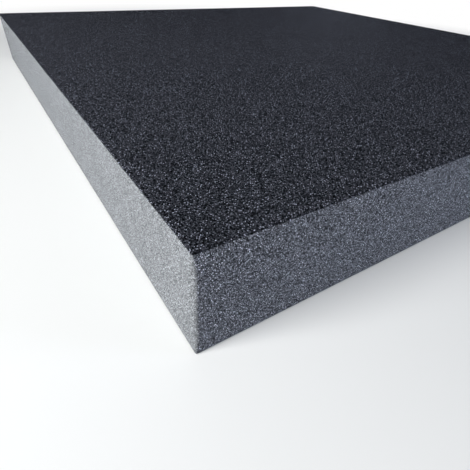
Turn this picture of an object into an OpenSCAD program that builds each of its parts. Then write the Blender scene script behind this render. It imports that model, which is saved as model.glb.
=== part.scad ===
// Flat acoustic foam panel: one slab of open-cell foam, knife-cut from a block.
// The origin is the centre of the back face, which is glued to a wall, and +Z points into the room.

/* [Panel] */
// Width of the panel, along X
panel_w = 500; // [100:10:1000]
// Depth of the panel, along Y
panel_d = 500; // [100:10:1000]
// Thickness of the panel, along Z
panel_t = 50; // [20:5:150]

/* [Cut edges] */
// Radius on the edges round the front and back faces, where the cut cells give way
edge_r = 1; // [0.5:0.25:6]
// Radius on the four upright corners
corner_r = 2.5; // [0.5:0.25:8]

/* [Hidden] */
foam_colour = [0.30, 0.31, 0.34];
// A cut runs out past the slab on both sides by this much
run_out = 5;
$fn = 64;

// A rectangle centred on the origin, with round corners
module rounded_rectangle(width, height, r) {
    square([width - 2 * r, height], center = true);
    square([width, height - 2 * r], center = true);
    for (x = [-1, 1], y = [-1, 1])
        translate([x * (width / 2 - r), y * (height / 2 - r)])
            circle(r);
}

// What one straight pass of the knife round an outline leaves, along Z
module knife_cut(width, height, r, length) {
    linear_extrude(length + 2 * run_out, center = true)
        rounded_rectangle(width, height, r);
}

// The slab is what the three passes, seen from above, from the front and from the side, leave in common
module foam_panel() {
    color(foam_colour)
        translate([0, 0, panel_t / 2])
            intersection() {
                knife_cut(panel_w, panel_d, corner_r, panel_t);
                rotate([90, 0, 0])
                    knife_cut(panel_w, panel_t, edge_r, panel_d);
                rotate([90, 0, 90])
                    knife_cut(panel_d, panel_t, edge_r, panel_w);
            }
}

foam_panel();
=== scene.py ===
"""Acoustic foam panel: a knife-cut slab of charcoal open-cell foam, lying on a white table."""
import math
from collections import namedtuple
from itertools import product

import bpy
import numpy as np
from mathutils import Matrix, Vector, noise


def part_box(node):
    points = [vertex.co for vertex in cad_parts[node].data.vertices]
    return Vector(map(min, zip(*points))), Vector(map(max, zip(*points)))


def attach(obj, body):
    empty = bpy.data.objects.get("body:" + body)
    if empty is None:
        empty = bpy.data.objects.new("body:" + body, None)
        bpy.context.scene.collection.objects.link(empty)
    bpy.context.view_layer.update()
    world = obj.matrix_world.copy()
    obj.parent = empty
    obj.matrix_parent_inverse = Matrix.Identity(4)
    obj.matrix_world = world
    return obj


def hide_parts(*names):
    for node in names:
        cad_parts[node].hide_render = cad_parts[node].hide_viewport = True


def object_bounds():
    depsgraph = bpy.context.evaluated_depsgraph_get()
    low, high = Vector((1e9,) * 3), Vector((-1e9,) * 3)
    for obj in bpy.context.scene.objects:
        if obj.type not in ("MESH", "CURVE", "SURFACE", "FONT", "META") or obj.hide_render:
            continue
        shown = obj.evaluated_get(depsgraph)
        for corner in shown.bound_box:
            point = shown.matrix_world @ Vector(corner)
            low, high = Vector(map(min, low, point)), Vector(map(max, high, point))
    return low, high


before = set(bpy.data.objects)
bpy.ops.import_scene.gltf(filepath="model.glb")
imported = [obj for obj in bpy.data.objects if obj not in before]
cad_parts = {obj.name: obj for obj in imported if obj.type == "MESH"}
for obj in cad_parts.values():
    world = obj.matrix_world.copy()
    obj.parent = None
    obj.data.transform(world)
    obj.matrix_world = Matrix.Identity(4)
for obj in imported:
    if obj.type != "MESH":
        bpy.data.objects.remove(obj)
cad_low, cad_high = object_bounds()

MM = 0.001

# Spacing of the slab's points, in millimetres: at its edges, at most, and its growth at each step
EDGE_STEP = 0.28
WIDEST_STEP = 3.2
STEP_GROWTH = 1.18

# Radius of the edges round the faces and of the upright corners, in millimetres
EDGE_R = 0.9
CORNER_R = 2.3
# How far under a face a corner starts to grow rounder than the edge, and where it has its full radius
CORNER_FADE = (1.5, 8.0)
# Share by which the radius changes along an edge, and the wavelength of that change
EDGE_R_CHANGE = 0.10
EDGE_R_WAVE = 3.0

# Relief of the cut surface: (wavelength, depth) of each layer, in millimetres
RELIEF = ((90.0, 0.20), (17.0, 0.05), (7.5, 0.05))

# Where each side of the slab, by axis and end, lies on the map for its colours: left, bottom, width, height
MAP_PLACES = {
    (2, True): (0.0, 0.0, 0.75, 0.75),
    (2, False): (1.0, 0.75, -0.25, 0.25),
    (1, False): (0.0, 0.75, 0.75, 0.125),
    (1, True): (0.75, 0.875, -0.75, 0.125),
    (0, False): (0.75, 0.0, 0.125, 0.75),
    (0, True): (1.0, 0.0, -0.125, 0.75),
}
# The two axes along the map for sides across each axis, and the margin round a side in millimetres
MAP_AXES = ((2, 1), (0, 2), (0, 1))
MAP_MARGIN = 1.2

# The spot on the table under the slab's near corner, which places camera and lamps, and where the lamps aim
NEAR_CORNER = Vector((cad_low[0], cad_low[1], 0))
AIM = NEAR_CORNER + Vector((0.15, 0.15, 0))

# Camera, fitted to the slab's five edges that the photograph shows, with its lens and sensor in millimetres
CAMERA_AT = NEAR_CORNER + Vector((-34.6, -71.7, 119.5)) * MM
CAMERA_YAW = math.radians(34.52)
CAMERA_PITCH = math.radians(37.90)
CAMERA_ROLL = math.radians(3.31)
CAMERA_LENS = 27.75
SENSOR = 36.0
# Nearest distance at which the camera sees, in metres
CLIP_START = 0.01

# Lamps: place and width in metres, power in watts, and colour, which the fill and the back lamp share
KEY_AT = NEAR_CORNER + Vector((-0.96, 0.02, 0.58))
KEY_SIZE = 0.7
KEY_POWER = 24.5
KEY_COLOUR = (1.0, 1.0, 1.0)
FILL_AT = NEAR_CORNER + Vector((1.05, -0.70, 0.20))
FILL_SIZE = 0.35
FILL_POWER = 5.6
FILL_COLOUR = (0.72, 0.79, 1.0)
BACK_AT = NEAR_CORNER + Vector((1.35, 1.25, 0.18))
BACK_SIZE = 0.32
BACK_POWER = 5.5

# The light from all round, and the white that is seen in its place
SKY_COLOUR = (0.066, 0.073, 0.096, 1)
BACKGROUND = (1, 1, 1, 1)

# Table: the colour that is seen, and the one in which it lights the slab
FLOOR_COLOUR = (0.88, 0.887, 0.868, 1)
FLOOR_BOUNCE = (0.27, 0.28, 0.325, 1)
FLOOR_ROUGHNESS = 0.9
# Half its width, and how far from the slab's middle it starts and ends its fade into the white, in metres
FLOOR_HALF = 4.0
FLOOR_FADE = (0.42, 0.80)

# Grain of the foam, with highlights painted into it: its linear colour, the size of its cells and the gap
# between its glints in millimetres, the change of brightness from cell to cell and on the struts, as
# logarithms, and the strength of its glints and sparks, which are painted highlights on the struts
GrainAndGlints = namedtuple("GrainAndGlints", "colour cell gap change strut glint spark")
# On the faces; on the left and right sides, painted as lit; and on the front and back, painted as shaded,
# with darker cells, more contrast and stronger painted glints
FACE = GrainAndGlints((0.0166, 0.0176, 0.0215), cell=0.34, gap=0.74, change=5.4, strut=0.8, glint=100.0, spark=60.0)
LIT_SIDE_GRAIN = GrainAndGlints((0.158, 0.166, 0.172), cell=0.25, gap=0.50, change=2.4, strut=0.5, glint=8.0, spark=5.0)
SHADED_FRONT_GRAIN = GrainAndGlints((0.144, 0.150, 0.157), cell=0.24, gap=0.50, change=5.0, strut=0.4, glint=40.0, spark=18.0)
# The pattern is turned out of line with the slab, so that no face cuts its cells alike
GRAIN_TURN = (0.61, 0.43, 0.83)
# Where a strut starts to fade and ends, from the wall between two cells, in cell sizes
STRUT_REACH = (0.04, 0.20)
# Where a painted glint or spark starts to fade and ends, from its middle, in its gaps
GLINT_REACH = (0.15, 0.32)
SPARK_REACH = (0.08, 0.15)
# Gap between the painted sparks, which are fewer than the glints, in millimetres
SPARK_GAP = 1.8
# Slow changes of brightness over many cells: scale per millimetre, detail, and change as a logarithm
SLOW_CHANGES = ((0.45, 2.0, 0.3), (0.05, 3.0, 0.2))

# Bump: height of the brightest cells over the darkest, as a share of the struts' height, then the bump's
# strength, and its depth in millimetres
CELL_HEIGHT = 0.5
BUMP = 0.25
BUMP_DEPTH = 0.25

# Where the dark face gives way to the paler cut, by the upright share of the surface's direction
CUT_SLOPE = (0.07, 0.62)
CUT_FADE = (0.1, 0.9)
# How far that line wanders, and the scale of its ragged course per millimetre
CUT_WANDER = 0.2
RAGGED_SCALE = 1.6
RAGGED_DETAIL = 1.0
# Where the grain of the sides, painted as lit, gives way to that of the front and back, painted as shaded,
# by its share along the depth
SHADED_GRAIN_FADE = (0.8, 1.0)

# Gloss of the foam: lowest and highest roughness, and strength of its reflections
ROUGHNESS = (0.8, 0.95)
SPECULAR = 0.003


def graded_places(half):
    """Places from -half to half, in millimetres, closest together at both ends."""
    steps = []
    while sum(steps) < half:
        steps.append(min(EDGE_STEP * STEP_GROWTH ** len(steps), WIDEST_STEP))
    from_end = np.cumsum([0.0] + steps) * half / sum(steps)
    return np.concatenate([from_end - half, half - from_end[-2::-1]])


def box_lattice(counts):
    """The places on the surface of a box of cells, its faces, and each face's side, by axis and end."""
    numbers = {}
    faces = []
    sides = []
    for axis, far in product(range(3), (False, True)):
        u, v = (axis + 1) % 3, (axis + 2) % 3
        for a, b in product(range(counts[u]), range(counts[v])):
            ring = [(a, b), (a + 1, b), (a + 1, b + 1), (a, b + 1)]
            if not far:
                ring.reverse()
            corners = []
            for i, j in ring:
                place = [0, 0, 0]
                place[axis], place[u], place[v] = counts[axis] * far, i, j
                corners.append(numbers.setdefault(tuple(place), len(numbers)))
            faces.append(corners)
            sides.append((axis, far))
    return list(numbers), faces, sides


def waves(points, length):
    """Smooth noise from -1 to 1 at each point, with about this wavelength."""
    return np.array([noise.noise(Vector(p / length)) for p in points])


def rounded(flat, half):
    """Points of a box's surface moved onto the box with round edges, and the outward direction at each."""
    under_face = half[2] - np.abs(flat[:, 2])
    even = np.interp(under_face, CORNER_FADE, (EDGE_R, CORNER_R))
    radius = (even * (1 + EDGE_R_CHANGE * waves(flat, EDGE_R_WAVE)))[:, None]
    core = np.clip(flat, radius - half, half - radius)
    outward = flat - core
    outward /= np.linalg.norm(outward, axis=1)[:, None]
    return core + radius * outward, outward


def relief(points):
    """How deep the cut surface lies under the slab's nominal one at each point."""
    depth = np.zeros(len(points))
    for length, most in RELIEF:
        depth += most * (0.5 + 0.5 * waves(points, length))
    return depth


def add_values(mesh, name, values):
    """Stores one number for each point of the mesh, for the material to read."""
    layer = mesh.attributes.new(name, "FLOAT", "POINT")
    layer.data.foreach_set("value", values.astype(np.float32))


def add_map(mesh, flat, half, faces, sides):
    """Unfolds the six sides of the slab onto a map, without overlaps."""
    shares = (flat + half + MAP_MARGIN) / (half + MAP_MARGIN) / 2
    spots = []
    for corners, side in zip(faces, sides):
        left, bottom, width, height = MAP_PLACES[side]
        u, v = MAP_AXES[side[0]]
        spots += [(left + width * shares[c, u], bottom + height * shares[c, v]) for c in corners]
    layer = mesh.uv_layers.new(name="OFBake")
    layer.uv.foreach_set("vector", np.ravel(spots))


def make_slab(low, high):
    """The slab of foam in the space of its CAD solid, with worn edges and an uneven cut surface."""
    half = np.array(high - low) / MM / 2
    middle = np.array(high + low) / MM / 2
    along = [graded_places(h) for h in half]
    places, faces, sides = box_lattice([len(a) - 1 for a in along])
    flat = np.array([[a[i] for a, i in zip(along, place)] for place in places])
    points, outward = rounded(flat, half)
    # The back face rests on the table, so it stays flat
    rests = np.clip(-outward[:, 2], 0, 1)
    points -= outward * (relief(points) * (1 - rests))[:, None]
    mesh = bpy.data.meshes.new("foam_slab")
    mesh.from_pydata((points + middle) * MM, [], faces)
    mesh.polygons.foreach_set("use_smooth", np.ones(len(faces), bool))
    add_map(mesh, flat, half, faces, sides)
    add_values(mesh, "cut", np.interp(np.abs(outward[:, 2]), CUT_SLOPE, (1, 0)))
    add_values(mesh, "front", np.abs(outward[:, 1]))
    slab = bpy.data.objects.new("foam_slab", mesh)
    bpy.context.scene.collection.objects.link(slab)
    return slab


class Nodes:
    """A material's or a world's node tree, with short calls to add to it."""

    def __init__(self, owner):
        owner.use_nodes = True
        self.tree = owner.node_tree
        self.tree.nodes.clear()

    def add(self, kind, inputs=(), **settings):
        """A node with these settings, its inputs linked to sockets or set to values by name or number."""
        made = self.tree.nodes.new("ShaderNode" + kind)
        for name, value in settings.items():
            setattr(made, name, value)
        for name, value in dict(inputs).items():
            if isinstance(value, bpy.types.NodeSocket):
                self.tree.links.new(value, made.inputs[name])
            else:
                made.inputs[name].default_value = value
        return made

    def math(self, operation, a, b=0.0, c=0.0):
        """The result of a sum with up to three numbers."""
        return self.add("Math", {0: a, 1: b, 2: c}, operation=operation).outputs[0]

    def blend(self, factor, a, b):
        """From number a to number b. A Mix node's sockets go by number, because they share their names."""
        return self.add("Mix", {0: factor, 2: a, 3: b}, data_type="FLOAT").outputs[0]

    def colour_blend(self, factor, a, b):
        """From colour a to colour b."""
        return self.add("Mix", {0: factor, 6: a, 7: b}, data_type="RGBA").outputs[2]

    def shown(self):
        """1 where the surface or the world is seen, also in a reflection, and 0 where it gives light."""
        path = self.add("LightPath").outputs
        seen = self.math("MAXIMUM", path["Is Camera Ray"], path["Is Glossy Ray"])
        return self.math("MAXIMUM", seen, path["Is Transmission Ray"])

    def fade(self, value, start, end, at_start=1.0, at_end=0.0):
        """Smoothly from one number to another while the value goes from start to end."""
        ends = {0: value, 1: start, 2: end, 3: at_start, 4: at_end}
        return self.add("MapRange", ends, interpolation_type="SMOOTHSTEP").outputs[0]


def painted_glints(nodes, mm, gap, reach):
    """Small painted glints about a gap apart, each of a strength of its own."""
    cells = nodes.add("TexVoronoi", {"Vector": mm, "Scale": 1 / gap})
    power = nodes.add("SeparateColor", {0: cells.outputs["Color"]}).outputs[0]
    shape = nodes.fade(cells.outputs["Distance"], *reach)
    return nodes.math("MULTIPLY", shape, nodes.math("MULTIPLY", power, power))


def speckled(nodes, mm, grain, sparks):
    """The colour and height of a foam surface: open cells that differ, struts between them, and painted
    glints.
    """
    cells = nodes.add("TexVoronoi", {"Vector": mm, "Scale": 1 / grain.cell})
    walls = nodes.add("TexVoronoi", {"Vector": mm, "Scale": 1 / grain.cell}, feature="DISTANCE_TO_EDGE")
    chance = nodes.add("SeparateColor", {0: cells.outputs["Color"]}).outputs[0]
    strut = nodes.fade(walls.outputs["Distance"], *STRUT_REACH)
    # The log of the cells' mean brightness is taken off, so that they average to the grain's colour
    mean = math.sinh(grain.change / 2) / (grain.change / 2)
    log = nodes.math("MULTIPLY_ADD", chance, grain.change, -grain.change / 2 - math.log(mean))
    log = nodes.math("MULTIPLY_ADD", strut, grain.strut, log)
    for scale, detail, most in SLOW_CHANGES:
        wave = nodes.add("TexNoise", {"Vector": mm, "Scale": scale, "Detail": detail}).outputs[0]
        log = nodes.math("ADD", log, nodes.math("MULTIPLY_ADD", wave, most, -most / 2))
    # Glints and sparks are highlights painted into the colour, on the struts only
    shine = nodes.math("MULTIPLY", painted_glints(nodes, mm, grain.gap, GLINT_REACH), grain.glint)
    shine = nodes.math("MULTIPLY_ADD", sparks, grain.spark, shine)
    bright = nodes.math("MULTIPLY_ADD", shine, strut, nodes.math("EXPONENT", log))
    colour = nodes.add("VectorMath", {0: grain.colour, "Scale": bright}, operation="SCALE").outputs[0]
    height = nodes.math("MULTIPLY_ADD", chance, CELL_HEIGHT, strut)
    return colour, height


def foam_material():
    """Dark speckled faces, and paler sides where the knife has laid the cells open, all with painted glints.
    """
    material = bpy.data.materials.new("foam")
    nodes = Nodes(material)
    place = nodes.add("TexCoord").outputs["Object"]
    in_mm = {"Vector": place, "Rotation": GRAIN_TURN, "Scale": (1 / MM, 1 / MM, 1 / MM)}
    mm = nodes.add("Mapping", in_mm).outputs[0]
    sparks = painted_glints(nodes, mm, SPARK_GAP, SPARK_REACH)
    face, face_height = speckled(nodes, mm, FACE, sparks)
    # Lit and shaded copies of one grain: the left and right sides painted as lit, the front and back as
    # shaded
    side, side_height = speckled(nodes, mm, LIT_SIDE_GRAIN, sparks)
    front, front_height = speckled(nodes, mm, SHADED_FRONT_GRAIN, sparks)
    course = {"Vector": mm, "Scale": RAGGED_SCALE, "Detail": RAGGED_DETAIL}
    ragged = nodes.add("TexNoise", course).outputs[0]
    wander = nodes.math("MULTIPLY_ADD", ragged, 2 * CUT_WANDER, -CUT_WANDER)
    edge = nodes.add("Attribute", attribute_name="cut").outputs["Fac"]
    cut = nodes.fade(nodes.math("ADD", edge, wander), *CUT_FADE, at_start=0.0, at_end=1.0)
    corner = nodes.add("Attribute", attribute_name="front").outputs["Fac"]
    shaded_share = nodes.fade(corner, *SHADED_GRAIN_FADE, at_start=0.0, at_end=1.0)
    bump = nodes.add("Bump", {
        "Height": nodes.blend(cut, face_height, nodes.blend(shaded_share, side_height, front_height)),
        "Strength": BUMP,
        "Distance": BUMP_DEPTH * MM,
    })
    shader = nodes.add("BsdfPrincipled", {
        "Base Color": nodes.colour_blend(cut, face, nodes.colour_blend(shaded_share, side, front)),
        "Roughness": nodes.add("MapRange", {0: ragged, 3: ROUGHNESS[0], 4: ROUGHNESS[1]}).outputs[0],
        "Normal": bump.outputs[0],
        "Specular IOR Level": SPECULAR,
    })
    nodes.add("OutputMaterial", {"Surface": shader.outputs[0]})
    return material


def floor_material():
    """A matt white table that takes the slab's shadow and fades into the background."""
    material = bpy.data.materials.new("table")
    nodes = Nodes(material)
    shader = nodes.add("BsdfPrincipled", {
        "Base Color": nodes.colour_blend(nodes.shown(), FLOOR_BOUNCE, FLOOR_COLOUR),
        "Roughness": FLOOR_ROUGHNESS,
        "Specular IOR Level": 0.0,
    })
    white = nodes.add("Emission", {"Color": BACKGROUND})
    place = nodes.add("TexCoord").outputs["Object"]
    distance = nodes.add("VectorMath", {0: place}, operation="LENGTH").outputs["Value"]
    far = nodes.fade(distance, *FLOOR_FADE, at_start=0.0, at_end=1.0)
    share = nodes.math("MULTIPLY", far, nodes.shown())
    faded = nodes.add("MixShader", {0: share, 1: shader.outputs[0], 2: white.outputs[0]})
    nodes.add("OutputMaterial", {"Surface": faded.outputs[0]})
    return material


def make_floor():
    """The table that the slab lies on."""
    mesh = bpy.data.meshes.new("table")
    half = FLOOR_HALF
    corners = [(-half, -half, 0), (half, -half, 0), (half, half, 0), (-half, half, 0)]
    mesh.from_pydata(corners, [], [(0, 1, 2, 3)])
    floor = bpy.data.objects.new("table", mesh)
    floor.data.materials.append(floor_material())
    bpy.context.scene.collection.objects.link(floor)


def make_lamp(name, place, size, power, colour):
    """A square lamp that shines at the near part of the slab."""
    light = bpy.data.lights.new(name, "AREA")
    light.energy = power
    light.size = size
    light.color = colour
    lamp = bpy.data.objects.new(name, light)
    lamp.location = place
    lamp.rotation_mode = "QUATERNION"
    lamp.rotation_quaternion = (place - AIM).to_track_quat("Z", "Y")
    bpy.context.scene.collection.objects.link(lamp)


def make_world():
    """Even light from all round, seen as plain white."""
    world = bpy.data.worlds.new("studio")
    bpy.context.scene.world = world
    nodes = Nodes(world)
    light = nodes.add("Background", {"Color": nodes.colour_blend(nodes.shown(), SKY_COLOUR, BACKGROUND)})
    nodes.add("OutputWorld", {"Surface": light.outputs[0]})


def make_camera():
    """The camera at the photograph's viewing angle, turned by its yaw, its pitch and its roll."""
    ahead = Vector((
        math.sin(CAMERA_YAW) * math.cos(CAMERA_PITCH),
        math.cos(CAMERA_YAW) * math.cos(CAMERA_PITCH),
        -math.sin(CAMERA_PITCH),
    ))
    level = Vector((math.cos(CAMERA_YAW), -math.sin(CAMERA_YAW), 0))
    upright = level.cross(ahead)
    right = math.cos(CAMERA_ROLL) * level + math.sin(CAMERA_ROLL) * upright
    up = math.cos(CAMERA_ROLL) * upright - math.sin(CAMERA_ROLL) * level
    lens = bpy.data.cameras.new("camera")
    lens.sensor_width = SENSOR
    lens.lens = CAMERA_LENS
    lens.clip_start = CLIP_START
    camera = bpy.data.objects.new("camera", lens)
    axes = Matrix((right, up, -ahead)).transposed().to_4x4()
    camera.matrix_world = Matrix.Translation(CAMERA_AT) @ axes
    bpy.context.scene.collection.objects.link(camera)
    bpy.context.scene.camera = camera


make_camera()
make_lamp("key", KEY_AT, KEY_SIZE, KEY_POWER, KEY_COLOUR)
make_lamp("fill", FILL_AT, FILL_SIZE, FILL_POWER, FILL_COLOUR)
make_lamp("back", BACK_AT, BACK_SIZE, BACK_POWER, FILL_COLOUR)
make_world()
make_floor()
slab = make_slab(*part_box("foam_panel"))
slab.data.materials.append(foam_material())
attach(slab, "root")
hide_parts("foam_panel")
bpy.context.scene.view_settings.view_transform = "Standard"
